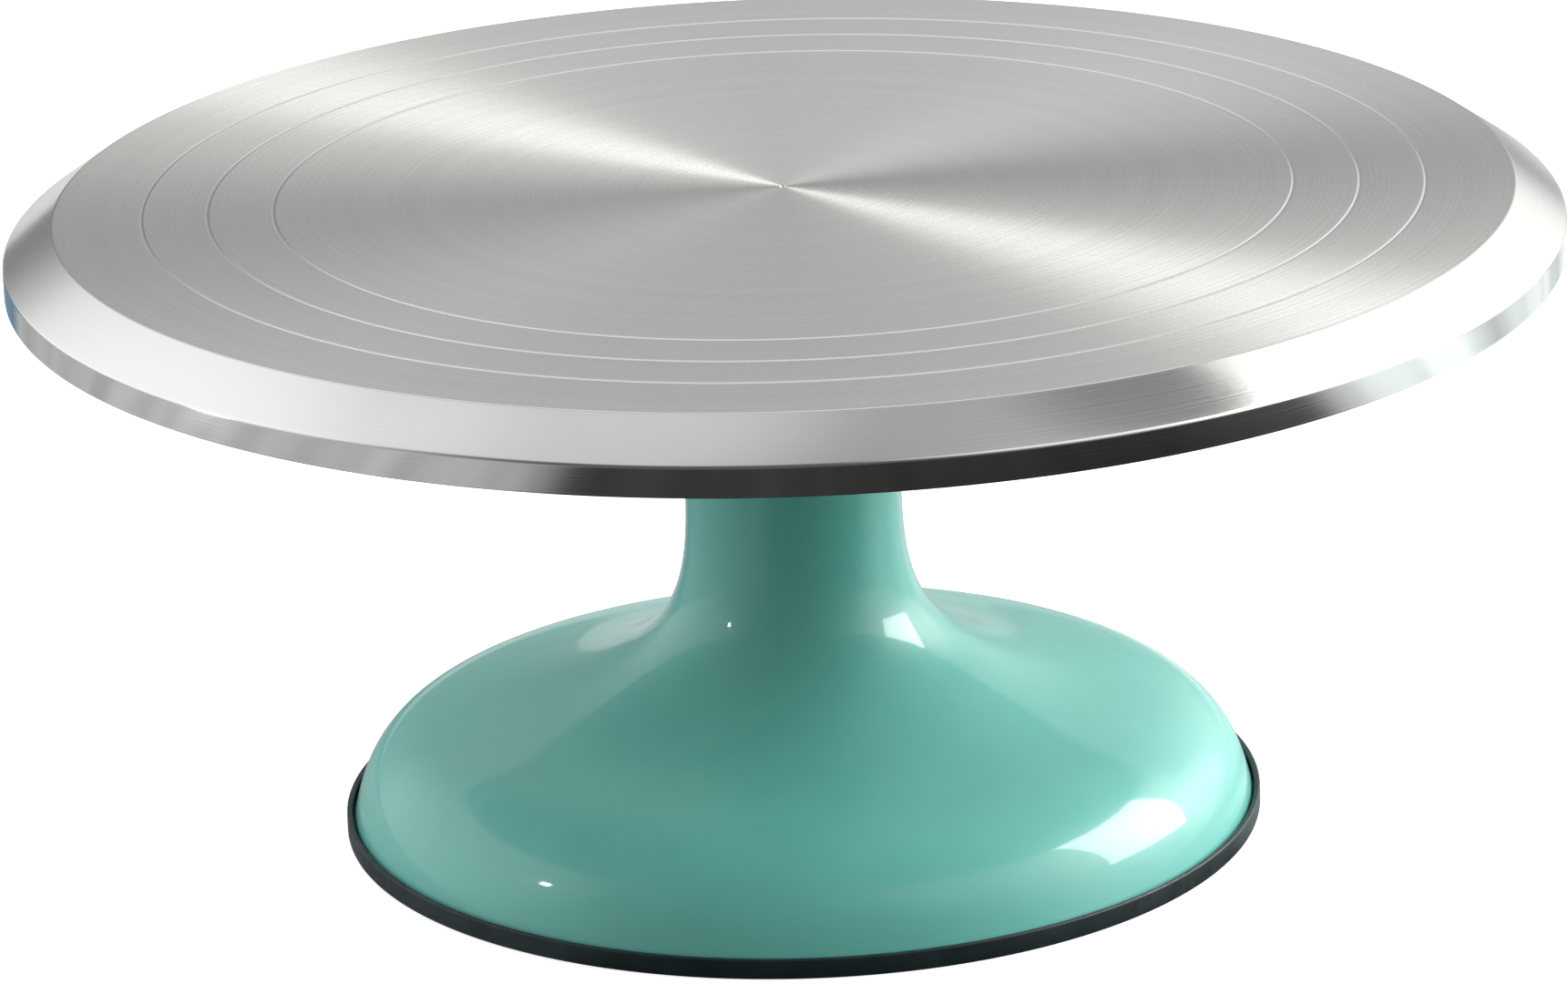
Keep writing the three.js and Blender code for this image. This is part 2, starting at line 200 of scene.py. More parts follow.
def moved_inwards(points, distance):
    """An outline's points, moved square to it through the wall."""
    moved = []
    for i, point in enumerate(points):
        way = (points[min(i + 1, len(points) - 1)] - points[max(i - 1, 0)]).normalized()
        moved.append(point + Vector((way.y, -way.x)) * distance)
    return moved


def pairs(points):
    """Vectors as plain (radius, height) pairs."""
    return [(p.x, p.y) for p in points]


# ---------------------------------------------------------------- meshes


def new_object(name, made):
    """A smooth-shaded object from a bmesh."""
    bmesh.ops.recalc_face_normals(made, faces=made.faces)
    mesh = bpy.data.meshes.new(name)
    made.to_mesh(mesh)
    made.free()
    mesh.shade_smooth()
    mesh.set_sharp_from_angle(angle=SHARP_ANGLE)
    piece = bpy.data.objects.new(name, mesh)
    bpy.context.scene.collection.objects.link(piece)
    return piece


def add_ring(made, sides, centre, height, radius_at):
    """A ring of points round an upright axis through centre. radius_at gives the radius at an angle."""
    ring = []
    for i in range(sides):
        angle = 2 * pi * i / sides
        radius = radius_at(angle)
        ring.append(made.verts.new(centre + Vector((radius * cos(angle), radius * sin(angle), height))))
    return ring


def add_round_rings(made, outline, sides, centre):
    """One ring for each (radius, height). A ring of no radius is one point, sides times over."""
    rings = []
    for radius, height in outline:
        if radius == 0:
            rings.append([made.verts.new(centre + Vector((0, 0, height)))] * sides)
        else:
            rings.append(add_ring(made, sides, centre, height, lambda angle, radius=radius: radius))
    return rings


def add_walls(made, rings):
    """Faces from each ring to the next one, with triangles round a ring that is one point."""
    for lower, upper in zip(rings, rings[1:]):
        for i in range(len(lower)):
            j = (i + 1) % len(lower)
            corners = list(dict.fromkeys((lower[i], lower[j], upper[j], upper[i])))
            if len(corners) > 2:
                made.faces.new(corners)


def lathe(name, outline, sides, centre=(0, 0, 0)):
    """A closed solid of revolution about an upright axis through centre."""
    made = bmesh.new()
    rings = add_round_rings(made, outline, sides, Vector(centre))
    ends_on_axis = outline[0][0] == 0 and outline[-1][0] == 0
    add_walls(made, rings if ends_on_axis else rings + rings[:1])
    return new_object(name, made)


def prism(name, outline, bottom, top):
    """An upright prism on an outline of (x, y) points."""
    made = bmesh.new()
    low = [made.verts.new((x, y, bottom)) for x, y in outline]
    high = [made.verts.new((x, y, top)) for x, y in outline]
    made.faces.new(low[::-1])
    made.faces.new(high)
    add_walls(made, [low, high])
    return new_object(name, made)


def hexagon(across_flats):
    """The six (x, y) corners of a regular hexagon."""
    corner = across_flats / sqrt(3)
    return [(corner * cos(pi * i / 3), corner * sin(pi * i / 3)) for i in range(6)]


def threaded(name, below, radius, thread, bottom, top, above, sides):
    """A solid of revolution with a helical thread from bottom to top, between two plain outlines."""
    steepness = 1.35  # above 1, so that the thread's crests are flat
    run_out = 1 / 12  # the share of the thread that each of its ends fades over
    made = bmesh.new()
    axis = Vector((0, 0, 0))
    steps = int((top - bottom) / thread["pitch"] * THREAD_ROWS)

    def thread_radius(height, fade):
        def at(angle):
            phase = ((height - bottom) / thread["pitch"] - angle / (2 * pi)) % 1.0
            ridge = min(1.0, steepness * (1 - abs(2 * phase - 1)))
            return radius - thread["depth"] * (1 - ridge) * fade
        return at

    rings = add_round_rings(made, below, sides, axis)
    for k in range(steps + 1):
        share = k / steps
        fade = min(1.0, share / run_out, (1 - share) / run_out)
        height = bottom + (top - bottom) * share
        rings.append(add_ring(made, sides, axis, height, thread_radius(height, fade)))
    rings += add_round_rings(made, above, sides, axis)
    add_walls(made, rings)
    return new_object(name, made)


def apply_boolean(piece, tools, operation):
    """Joins the tools to the piece, or cuts them from it, and removes them."""
    for tool in tools:
        step = piece.modifiers.new("boolean", "BOOLEAN")
        step.operation = operation
        step.object = tool
        step.solver = "EXACT"
        evaluated = piece.evaluated_get(bpy.context.evaluated_depsgraph_get())
        mesh = bpy.data.meshes.new_from_object(evaluated)
        piece.modifiers.clear()
        piece.data = mesh
        bpy.data.objects.remove(tool)
    piece.data.shade_smooth()
    piece.data.set_sharp_from_angle(angle=SHARP_ANGLE)


def add_piece(piece, material, body, node):
    """Gives a piece its finish, makes it ride on its body, and lets it stand for its CAD node."""
    piece.data.materials.clear()
    piece.data.materials.append(material)
    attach(piece, body)
    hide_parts(node)


# ---------------------------------------------------------------- materials


class Finish:
    """A node material that is put together step by step round one Principled shader."""

    def __init__(self, name, color, roughness, metallic=0.0):
        self.material = bpy.data.materials.new(name)
        self.material.use_nodes = True
        self.nodes = self.material.node_tree.nodes
        self.links = self.material.node_tree.links
        self.shader = self.nodes["Principled BSDF"]
        self.color = color
        self.set("Base Color", (*color, 1))
        self.set("Roughness", roughness)
        self.set("Metallic", metallic)
        self.height = None

    def set(self, socket, value):
        self.shader.inputs[socket].default_value = value

    def node(self, kind, **inputs):
        made = self.nodes.new(kind)
        for socket, value in inputs.items():
            made.inputs[socket.replace("_", " ")].default_value = value
        return made

    def place(self):
        """The place on the piece, in metres."""
        return self.node("ShaderNodeTexCoord").outputs["Object"]

    def math(self, operation, first, second=0.5):
        made = self.nodes.new("ShaderNodeMath")
        made.operation = operation
        for socket, value in zip(made.inputs, (first, second)):
            if isinstance(value, (int, float)):
                socket.default_value = value
            else:
                self.links.new(value, socket)
        return made.outputs[0]

    def radius(self):
        """The distance from the spin axis, in metres."""
        split = self.nodes.new("ShaderNodeSeparateXYZ")
        self.links.new(self.place(), split.inputs[0])
        x_square = self.math("POWER", split.outputs[0], 2.0)
        y_square = self.math("POWER", split.outputs[1], 2.0)
        return self.math("SQRT", self.math("ADD", x_square, y_square))

    def along_z(self):
        """The height on the piece, in metres."""
        split = self.nodes.new("ShaderNodeSeparateXYZ")
        self.links.new(self.place(), split.inputs[0])
        return split.outputs[2]

    def line_noise(self, distance, size):
        """Noise along one distance, so that it draws lines. Size is the lines' spacing."""
        noise = self.node("ShaderNodeTexNoise", Scale=1 / size, Detail=2.0, Roughness=0.6)
        noise.noise_dimensions = "1D"
        self.links.new(distance, noise.inputs["W"])
        return noise.outputs["Fac"]

    def noise(self, size, detail=3.0):
        """Noise all over the piece. Size is the blotches' spacing in metres."""
        noise = self.node("ShaderNodeTexNoise", Scale=1 / size, Detail=detail, Roughness=0.55)
        self.links.new(self.place(), noise.inputs["Vector"])
        return noise.outputs["Fac"]

    def spread(self, value, low, high, start=0.3, end=0.7):
        """A value remapped to run from low to high. The usual start and end are those of noise."""
        step = self.node("ShaderNodeMapRange", From_Min=start, From_Max=end, To_Min=low, To_Max=high)
        self.links.new(value, step.inputs["Value"])
        return step.outputs["Result"]

    def vary_roughness(self, value, low, high):
        """Runs the roughness from low to high."""
        self.links.new(self.spread(value, low, high), self.shader.inputs["Roughness"])

    def vary_color(self, value, low, high):
        """Shades the colour between low and high times itself."""
        tint = self.nodes.new("ShaderNodeVectorMath")
        tint.operation = "SCALE"
        tint.inputs[0].default_value = self.color
        self.links.new(self.spread(value, low, high), tint.inputs["Scale"])
        self.links.new(tint.outputs[0], self.shader.inputs["Base Color"])

    def bump(self, value, depth):
        """Raises the surface by value times depth, in metres, on top of any earlier bump."""
        bump = self.node("ShaderNodeBump", Strength=1.0, Distance=depth)
        self.links.new(value, bump.inputs["Height"])
        if self.height:
            self.links.new(self.height, bump.inputs["Normal"])
        self.height = bump.outputs["Normal"]
        self.links.new(self.height, self.shader.inputs["Normal"])

    def turned(self, amount):
        """Stretches highlights across marks that run round the spin axis."""
        quarter_turn = 0.25
        tangent = self.nodes.new("ShaderNodeTangent")
        tangent.direction_type = "RADIAL"
        tangent.axis = "Z"
        self.links.new(tangent.outputs[0], self.shader.inputs["Tangent"])
        self.set("Anisotropic", amount)
        self.set("Anisotropic Rotation", quarter_turn)


INWARD_LEAN = 0.09  # how much the tool marks on the plate's top lean towards the axis


def turned_face():
    """The plate's top: fine concentric tool marks that spread each light into a wedge."""
    finish = Finish("turned_aluminium_face", (0.78, 0.78, 0.76), 0.28, 1.0)
    finish.turned(0.96)
    radius = finish.radius()
    fine = finish.line_noise(radius, 0.4 * MM)
    wide = finish.line_noise(radius, 5 * MM)
    finish.vary_roughness(fine, 0.262, 0.298)
    both = finish.math("ADD", finish.math("MULTIPLY", fine, 0.6), finish.math("MULTIPLY", wide, 0.4))
    finish.vary_color(both, 0.95, 1.03)
    finish.bump(fine, 0.001 * MM)
    finish.bump(radius, INWARD_LEAN)
    return finish.material


def turned_edge():
    """The bevel and the rim: a finer, brighter cut."""
    finish = Finish("turned_aluminium_edge", (0.86, 0.86, 0.845), 0.15, 1.0)
    finish.turned(0.8)
    lines = finish.line_noise(finish.math("SUBTRACT", finish.radius(), finish.along_z()), 0.35 * MM)
    finish.vary_roughness(lines, 0.12, 0.18)
    finish.vary_color(lines, 0.96, 1.02)
    finish.bump(lines, 0.001 * MM)
    return finish.material


def turned_underside():
    """The plate's underside: a coarser, duller cut."""
    finish = Finish("turned_aluminium_underside", (0.70, 0.70, 0.69), 0.42, 1.0)
    finish.turned(0.85)
    lines = finish.line_noise(finish.radius(), 0.8 * MM)
    finish.vary_roughness(lines, 0.34, 0.5)
    finish.vary_color(lines, 0.86, 1.05)
    finish.bump(lines, 0.02 * MM)
    return finish.material


def teal_enamel():
    """Thick glossy paint with a slight orange peel."""
    finish = Finish("teal_enamel", (0.22, 0.74, 0.655), 0.42)
    finish.set("Specular IOR Level", 0.3)
    finish.set("Coat Weight", 0.64)
    finish.set("Coat Roughness", 0.055)
    finish.set("Coat IOR", 1.47)
    finish.vary_color(finish.noise(28 * MM), 0.97, 1.03)
    finish.vary_roughness(finish.noise(6 * MM), 0.30, 0.40)
    finish.bump(finish.noise(7 * MM, 1.0), 0.012 * MM)
    return finish.material


def black_rubber():
    """Moulded rubber with a fine matt grain."""
    finish = Finish("black_rubber", (0.018, 0.036, 0.042), 0.45)
    finish.vary_color(finish.noise(9 * MM), 0.75, 1.35)
    finish.vary_roughness(finish.noise(1.2 * MM), 0.42, 0.6)
    finish.bump(finish.noise(0.5 * MM, 2.0), 0.02 * MM)
    return finish.material


def ground_steel():
    """The spindle: fine marks that run round it."""
    finish = Finish("ground_steel", (0.62, 0.62, 0.63), 0.26, 1.0)
    finish.turned(0.7)
    lines = finish.line_noise(finish.math("ADD", finish.radius(), finish.along_z()), 0.3 * MM)
    finish.vary_roughness(lines, 0.2, 0.34)
    finish.vary_color(finish.noise(5 * MM), 0.88, 1.05)
    finish.bump(lines, 0.002 * MM)
    return finish.material


def zinc_steel():
    """The zinc-plated screws, spacer, washer and nut."""
    finish = Finish("zinc_steel", (0.66, 0.675, 0.68), 0.34, 1.0)
    finish.vary_color(finish.noise(2.5 * MM), 0.84, 1.06)
    finish.vary_roughness(finish.noise(1.2 * MM), 0.27, 0.42)
    finish.bump(finish.noise(0.4 * MM), 0.006 * MM)
    return finish.material


def bearing_steel():
    """Hardened and polished, for the bearings' rings and balls."""
    finish = Finish("bearing_steel", (0.74, 0.745, 0.75), 0.12, 1.0)
    finish.vary_color(finish.noise(3 * MM), 0.92, 1.04)
    finish.vary_roughness(finish.noise(0.8 * MM), 0.08, 0.17)
    return finish.material


def pressed_steel():
    """Duller sheet, for the bearings' shields and cages."""
    finish = Finish("pressed_steel", (0.56, 0.56, 0.555), 0.34, 1.0)
    finish.vary_color(finish.noise(2 * MM), 0.85, 1.05)
    finish.vary_roughness(finish.noise(0.5 * MM), 0.28, 0.42)
    finish.bump(finish.noise(0.25 * MM), 0.004 * MM)
    return finish.material


def blue_nylon():
    """The nut's locking collar, which lets a little light in."""
    finish = Finish("blue_nylon", (0.03, 0.13, 0.36), 0.45)
    finish.set("Subsurface Weight", 0.1)
    finish.set("Subsurface Scale", 1 * MM)
    finish.vary_color(finish.noise(2 * MM), 0.88, 1.1)
    finish.vary_roughness(finish.noise(0.6 * MM), 0.38, 0.55)
    finish.bump(finish.noise(0.4 * MM), 0.008 * MM)
    return finish.material


# ---------------------------------------------------------------- plate


def groove(radius):
    """A ring groove in the plate's top, from its outer edge inwards, with broken edges."""
    lip = 0.12 * MM
    return [
        (radius + GROOVE_HALF_WIDTH, PLATE_TOP, lip),
        (radius, PLATE_TOP - GROOVE_DEPTH, lip),
        (radius - GROOVE_HALF_WIDTH, PLATE_TOP, lip),
    ]


def plate_outline():
    """From the hub's underside out to the rim, and back over the top to a small dimple at the centre."""
    bevel_inner = PLATE_RADIUS - BEVEL_WIDTH
    rim_top = PLATE_TOP - BEVEL_DROP
    rim_inner = PLATE_RADIUS - RIM_WALL
    web = PLATE_TOP - WEB_THICKNESS
    grooves = [corner for radius in reversed(GROOVE_RADII) for corner in groove(radius)]
    dimple = 0.7 * MM
    return rounded([
        (0, HUB_BOTTOM, 0),
        (HUB_RADIUS, HUB_BOTTOM, 0.6 * MM),
        (HUB_RADIUS + 1.5 * MM, web, 1.2 * MM),
        (bevel_inner - 2 * MM, web, 1.5 * MM),
        (rim_inner - 0.5 * MM, web - 3.5 * MM, 1.2 * MM),
        (rim_inner, RIM_BOTTOM, 0.4 * MM),
        (PLATE_RADIUS, RIM_BOTTOM, 0.4 * MM),
        (PLATE_RADIUS, rim_top, 0.5 * MM),
        (bevel_inner, PLATE_TOP, 0.35 * MM),
        *grooves,
        (dimple, PLATE_TOP, 0.15 * MM),
        (0, PLATE_TOP - 0.5 * MM, 0),
    ])


def screw_places():
    """The (x, y) of each flange screw."""
    angles = [2 * pi * (i + 0.5) / SCREW_COUNT for i in range(SCREW_COUNT)]
    return [(SCREW_CIRCLE * cos(a), SCREW_CIRCLE * sin(a)) for a in angles]


def hole_cutters(radius, bottom, top):
    """One round cutter at each screw."""
    outline = [(0, bottom), (radius, bottom), (radius, top), (0, top)]
    return [lathe("cutter", outline, SMALL, (x, y, 0)) for x, y in screw_places()]


def paint_plate(plate):
    """The brighter cut goes in the grooves and on the bevel and rim, and the duller one underneath."""
    plate.data.materials.append(turned_edge())
    plate.data.materials.append(turned_underside())
    edge_cut = 1
    underside_cut = 2
    bevel_start = PLATE_RADIUS - BEVEL_WIDTH - 0.2 * MM
    rim_start = PLATE_RADIUS - RIM_WALL / 2
    for face in plate.data.polygons:
        reach = hypot(face.center.x, face.center.y)
        upper = face.center.z > PLATE_TOP - BEVEL_DROP / 2
        in_groove = upper and any(abs(reach - radius) < GROOVE_HALF_WIDTH for radius in GROOVE_RADII)
        on_bevel = reach > bevel_start and face.normal.z > 0.3
        on_rim = reach > rim_start and face.normal.z > -0.5
        if in_groove or on_bevel or on_rim:
            face.material_index = edge_cut
        elif not upper:
            face.material_index = underside_cut


def make_plate():
    """The plate, with the screws' tapped holes in its hub."""
    plate = lathe("plate", plate_outline(), FINE)
    holes = hole_cutters(TAPPED_HOLE_RADIUS, HUB_BOTTOM - MM, HUB_BOTTOM + TAPPED_HOLE_DEPTH)
    apply_boolean(plate, holes, "DIFFERENCE")
    add_piece(plate, turned_face(), "turntable", "turntable_plate")
    paint_plate(plate)


# ---------------------------------------------------------------- base


def base_curves(flare_steps=24, dome_steps=40):
    """The base's outside from the foot of the neck to the skirt's edge."""
    neck_end = {"radius": NECK_RADIUS, "height": FLARE_START, "slope": 90}
    flare = bezier(neck_end, SHOULDER, FLARE_REACH, flare_steps)
    dome = bezier(SHOULDER, SKIRT_EDGE, DOME_REACH, dome_steps)
    return flare + dome[1:]


def shell_outline():
    """The casting: bearing tube, inner wall, foot, outer wall, neck and bearing seats."""
    outer = base_curves()
    slope = radians(SKIRT_EDGE["slope"])
    foot_radius = SKIRT_EDGE["radius"] + (SKIRT_EDGE["height"] - SHELL_FOOT) / tan(slope)
    inner = [p for p in moved_inwards(outer, SHELL_WALL) if p.x > TUBE_WALL_RADIUS + MM]
    edge = 0.8 * MM
    tube = [
        (SEAT_RADIUS, TUBE_BOTTOM),
        (TUBE_WALL_RADIUS, TUBE_BOTTOM),
        (TUBE_WALL_RADIUS, inner[0].y + 0.5 * MM),
    ]
    foot = [(inner[-1].x, SHELL_FOOT), (foot_radius, SHELL_FOOT)]
    top = arc(NECK_RADIUS - edge, NECK_TOP - edge, edge, 0, 90)
    bore = [
        (SEAT_RADIUS, NECK_TOP),
        (SEAT_RADIUS, SPACER_TOP),
        (TUBE_BORE_RADIUS, SPACER_TOP),
        (TUBE_BORE_RADIUS, SPACER_BOTTOM),
        (SEAT_RADIUS, SPACER_BOTTOM),
    ]
    return tube + pairs(inner) + foot + pairs(reversed(outer)) + top + bore


def rib(index):
    """One upright rib from the bearing tube to the skirt, with its upper edge inside the wall."""
    outer = base_curves(12, 16)
    tube_middle = (SEAT_RADIUS + TUBE_WALL_RADIUS) / 2
    foot = TUBE_BOTTOM + 0.5 * MM
    upper = [p for p in moved_inwards(outer, SHELL_WALL / 2) if p.x > TUBE_WALL_RADIUS + 2 * MM]
    lower = [p for p in moved_inwards(outer, SHELL_WALL + RIB_DEPTH) if p.x > RIB_LOWER_START]
    # Both edges stop short of the skirt's foot.
    outline = [
        (tube_middle, foot),
        (tube_middle, upper[0].y),
        *pairs(upper[:-1]),
        *pairs(reversed(lower[:-3])),
        (TUBE_WALL_RADIUS + 1.5 * MM, foot),
    ]
    made = bmesh.new()
    turn = Matrix.Rotation(2 * pi * (index + 0.5) / RIB_COUNT, 4, "Z")
    near = [made.verts.new(turn @ Vector((x, -RIB_THICKNESS / 2, z))) for x, z in outline]
    far = [made.verts.new(turn @ Vector((x, RIB_THICKNESS / 2, z))) for x, z in outline]
    made.faces.new(near)
    made.faces.new(far[::-1])
    add_walls(made, [near, far])
    return new_object("rib", made)


def make_base():
    """The casting, with its ribs joined on."""
    shell = lathe("base", shell_outline(), FINE)
    apply_boolean(shell, [rib(i) for i in range(RIB_COUNT)], "UNION")
    add_piece(shell, teal_enamel(), "base", "base_shell")


def make_ring():
    """The rubber channel, with fine grip grooves round its underside."""
    lip_top = SKIRT_EDGE["height"]
    groove_count = 4
    groove_pitch = 1.6 * MM
    groove_width = 0.6 * MM
    groove_depth = 0.35 * MM
    first = RING_INNER_RADIUS + 1.4 * MM
    grooves = []
    for i in range(groove_count):
        start = first + i * groove_pitch
        grooves.append((start, 0, 0))
        grooves.append((start + groove_width / 2, groove_depth, 0.1 * MM))
        grooves.append((start + groove_width, 0, 0))
    outline = rounded([
        (RING_INNER_RADIUS, 0, 0.6 * MM),
        *grooves,
        (FOOT_RADIUS, 0, 0.6 * MM),
        (FOOT_RADIUS, lip_top, 0.9 * MM),
        (OUTER_LIP_RADIUS, lip_top - 0.15 * MM, 0.3 * MM),
        (OUTER_LIP_RADIUS, SHELL_FOOT, 0),
        (INNER_LIP_RADIUS, SHELL_FOOT, 0),
        (INNER_LIP_RADIUS, RING_TOP, 0.4 * MM),
        (RING_INNER_RADIUS, RING_TOP, 0.4 * MM),
    ])
    ring = lathe("foot_rubber", outline, FINE)
    add_piece(ring, black_rubber(), "base", "foot_ring")


# ---------------------------------------------------------------- spindle and what holds it


def make_spindle():
    """The shaft with its threaded end, its collar and the flange under the hub."""
    shaft_above = rounded([
        (SPINDLE_RADIUS, THREAD_TOP + MM, 0),
        (SPINDLE_RADIUS, NECK_TOP - MM, 0),
        (COLLAR_RADIUS, NECK_TOP - MM, 0.25 * MM),
        (COLLAR_RADIUS, FLANGE_BOTTOM, 0.4 * MM),
        (FLANGE_RADIUS, FLANGE_BOTTOM, 0.6 * MM),
        (FLANGE_RADIUS, HUB_BOTTOM, 0.3 * MM),
        (0, HUB_BOTTOM, 0),
    ])
    end = [
        (0, SPINDLE_END),
        (SPINDLE_RADIUS - 1.2 * MM, SPINDLE_END),
        (SPINDLE_RADIUS - 0.9 * MM, SPINDLE_END + 0.3 * MM),
    ]
    spindle = threaded(
        "spindle_shaft",
        below=end,
        radius=SPINDLE_RADIUS,
        thread=SPINDLE_THREAD,
        bottom=SPINDLE_END + MM,
        top=THREAD_TOP,
        above=shaft_above,
        sides=MEDIUM,
    )
    holes = hole_cutters(FLANGE_HOLE_RADIUS, FLANGE_BOTTOM - MM, HUB_BOTTOM + MM)
    apply_boolean(spindle, holes, "DIFFERENCE")
    add_piece(spindle, ground_steel(), "turntable", "spindle")


def make_screws(material):
    """Button-head screws that point up through the flange into the hub."""
    head = rounded([
        (0.42 * SCREW_HEAD, -SCREW_HEAD_HEIGHT, 0.1 * MM),
        (0.72 * SCREW_HEAD, -0.88 * SCREW_HEAD_HEIGHT, 1.0 * MM),
        (0.95 * SCREW_HEAD, -0.4 * SCREW_HEAD_HEIGHT, 1.0 * MM),
        (SCREW_HEAD, 0, 0.15 * MM),
    ])
    below = [(0, -SCREW_HEAD_HEIGHT), *head, (SCREW_SHANK, 0)]
    above = [(SCREW_SHANK - 0.5 * MM, SCREW_LENGTH), (0, SCREW_LENGTH)]
    socket_end = SOCKET_DEPTH - SCREW_HEAD_HEIGHT
    for index, (x, y) in enumerate(screw_places(), 1):
        screw = threaded(
            f"screw_{index}",
            below=below,
            radius=SCREW_SHANK,
            thread=SCREW_THREAD,
            bottom=0.4 * MM,
            top=SCREW_LENGTH - 0.5 * MM,
            above=above,
            sides=SMALL,
        )
        socket = prism("socket", hexagon(SOCKET_ACROSS_FLATS), -2 * SCREW_HEAD_HEIGHT, socket_end)
        apply_boolean(screw, [socket], "DIFFERENCE")
        screw.data.transform(Matrix.Translation((x, y, FLANGE_BOTTOM)))
        add_piece(screw, material, "turntable", f"flange_screw_{index}")


def make_spacer(material):
    """The tube between the two inner rings."""
    outline = rounded([
        (BUSH_BORE, SPACER_BOTTOM, 0.25 * MM),
        (SPACER_RADIUS, SPACER_BOTTOM, 0.25 * MM),
        (SPACER_RADIUS, SPACER_TOP, 0.25 * MM),
        (BUSH_BORE, SPACER_TOP, 0.25 * MM),
    ])
    spacer = lathe("spacer_tube", outline, MEDIUM)
    add_piece(spacer, material, "turntable", "bearing_spacer")


def make_washer(material):
    """The washer under the lower inner ring, with a wide chamfer below."""
    outline = rounded([
        (WASHER_BORE, WASHER_BOTTOM, 0.15 * MM),
        (WASHER_RADIUS, WASHER_BOTTOM, 0.45 * MM),
        (WASHER_RADIUS, WASHER_TOP, 0.15 * MM),
        (WASHER_BORE, WASHER_TOP, 0.1 * MM),
    ])
    washer = lathe("washer", outline, MEDIUM)
    add_piece(washer, material, "turntable", "spindle_washer")


def make_nut(material):
    """A lock nut: a chamfered hexagon, with a rolled collar round the nylon insert below it."""
    corner = NUT_ACROSS_FLATS / sqrt(3)
    flat = NUT_ACROSS_FLATS / 2
    chamfer = 0.55 * (corner - flat)
    nut = prism("lock_nut", hexagon(NUT_ACROSS_FLATS), NUT_HEX_BOTTOM, WASHER_BOTTOM)
    envelope = [
        (0, NUT_HEX_BOTTOM),
        (flat - 0.2 * MM, NUT_HEX_BOTTOM),
        (corner + 0.1 * MM, NUT_HEX_BOTTOM + chamfer),
        (corner + 0.1 * MM, WASHER_BOTTOM - chamfer),
        (flat - 0.2 * MM, WASHER_BOTTOM),
        (0, WASHER_BOTTOM),
    ]
    apply_boolean(nut, [lathe("envelope", envelope, MEDIUM)], "INTERSECT")
    collar = rounded([
        (BUSH_BORE, NUT_BOTTOM, 0.2 * MM),
        (NUT_COLLAR_RADIUS, NUT_BOTTOM, 1.0 * MM),
        (NUT_COLLAR_RADIUS, NUT_HEX_BOTTOM + MM, 0),
        (BUSH_BORE, NUT_HEX_BOTTOM + MM, 0),
    ])
    apply_boolean(nut, [lathe("collar", collar, MEDIUM)], "UNION")
    pocket = INSERT_RADIUS + 0.1 * MM
    pocket_top = INSERT_TOP + 0.1 * MM
    bore = [
        (0, NUT_BOTTOM - MM),
        (pocket, NUT_BOTTOM - MM),
        (pocket, pocket_top),
        (BUSH_BORE, pocket_top),
        (BUSH_BORE, WASHER_BOTTOM + MM),
        (0, WASHER_BOTTOM + MM),
    ]
    apply_boolean(nut, [lathe("bore", bore, MEDIUM)], "DIFFERENCE")
    add_piece(nut, material, "turntable", "spindle_nut")


def make_insert():
    """The nylon collar inside the nut."""
    outline = rounded([
        (BUSH_BORE, NUT_BOTTOM, 0.25 * MM),
        (INSERT_RADIUS, NUT_BOTTOM, 0.25 * MM),
        (INSERT_RADIUS, INSERT_TOP, 0.25 * MM),
        (BUSH_BORE, INSERT_TOP, 0.25 * MM),
    ])
    insert = lathe("lock_ring", outline, MEDIUM)
    add_piece(insert, blue_nylon(), "turntable", "spindle_nut_insert")


# ---------------------------------------------------------------- bearings

RACE_HALF_ANGLE = degrees(acos((PITCH_RADIUS - INNER_LAND) / RACE_RADIUS))
RACE_STEPS = 16


def inner_ring_outline():
    """The ring on the spindle, with the balls' groove round its outside."""
    half = BEARING_WIDTH / 2
    edge = 0.4 * MM
    race = arc(PITCH_RADIUS, 0, RACE_RADIUS, 180 + RACE_HALF_ANGLE, 180 - RACE_HALF_ANGLE, RACE_STEPS)
    return [
        *arc(BEARING_BORE + edge, edge - half, edge, 180, 270),
        (INNER_LAND, -half),
        *race,
        (INNER_LAND, half),
        *arc(BEARING_BORE + edge, half - edge, edge, 90, 180),
    ]


def outer_ring_outline():
    """The ring in the base, with the balls' groove inside and a step for each shield."""
    half = BEARING_WIDTH / 2
    edge = 0.4 * MM
    step = half - SHIELD_INSET - SHIELD_THICKNESS - 0.1 * MM
    recess = SHIELD_OUTER + 0.2 * MM
    race = arc(PITCH_RADIUS, 0, RACE_RADIUS, RACE_HALF_ANGLE, -RACE_HALF_ANGLE, RACE_STEPS)
    return [
        *arc(BEARING_RADIUS - edge, edge - half, edge, -90, 0),
        *arc(BEARING_RADIUS - edge, half - edge, edge, 0, 90),
        (recess, half),
        (recess, step),
        (OUTER_LAND, step),
        *race,
        (OUTER_LAND, -step),
        (recess, -step),
        (recess, -half),
    ]


